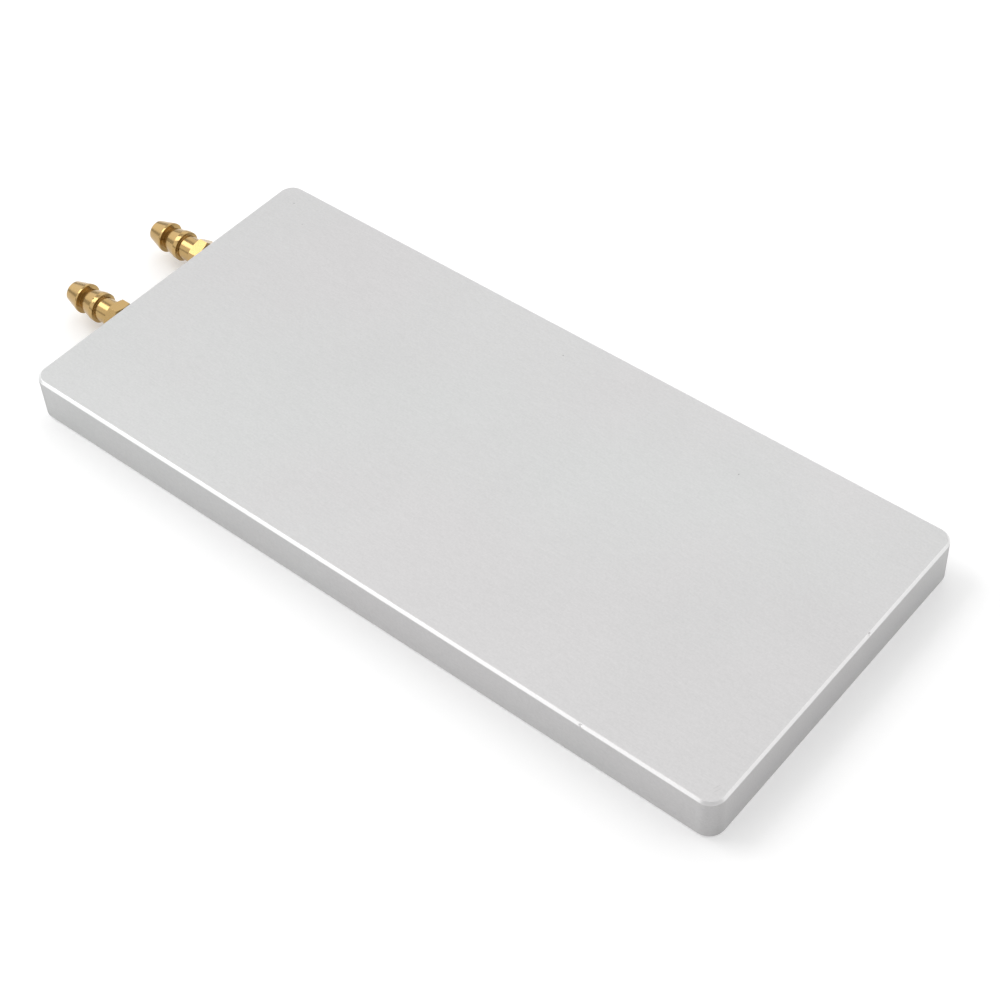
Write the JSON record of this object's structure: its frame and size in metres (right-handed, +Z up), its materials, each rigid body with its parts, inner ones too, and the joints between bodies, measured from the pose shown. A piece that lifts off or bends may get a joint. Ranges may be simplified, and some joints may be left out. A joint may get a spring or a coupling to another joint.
{
  "type": "liquid cooling cold plate",
  "caption": "Flat drilled aluminium slab with rounded corners, cooled by liquid that enters and leaves through two brass hose barbs side by side in one short end.",
  "frame": {"origin": "centre of the slab's bottom face", "axes": "+X along the slab away from the ports, +Y across it, +Z up out of the top face"},
  "size_m": [0.2196, 0.09, 0.012],
  "materials": {
    "plate_aluminium": "fine brushed, clear",
    "fitting_brass": "turned, bright",
    "plug_aluminium": "faced flush",
    "seal_tape": "matt white tape"
  },
  "bodies": {
    "root": {"plate_body": "plate_aluminium", "inlet_fitting": "fitting_brass", "outlet_fitting": "fitting_brass", "inlet_thread_tape": "seal_tape", "outlet_thread_tape": "seal_tape", "passage_plug_1": "plug_aluminium", "passage_plug_2": "plug_aluminium", "passage_plug_3": "plug_aluminium", "passage_plug_4": "plug_aluminium", "passage_plug_5": "plug_aluminium", "passage_plug_6": "plug_aluminium", "near_header_plug": "plug_aluminium", "far_header_plug": "plug_aluminium", "header_separator": "plug_aluminium"}
  },
  "joints": []
}
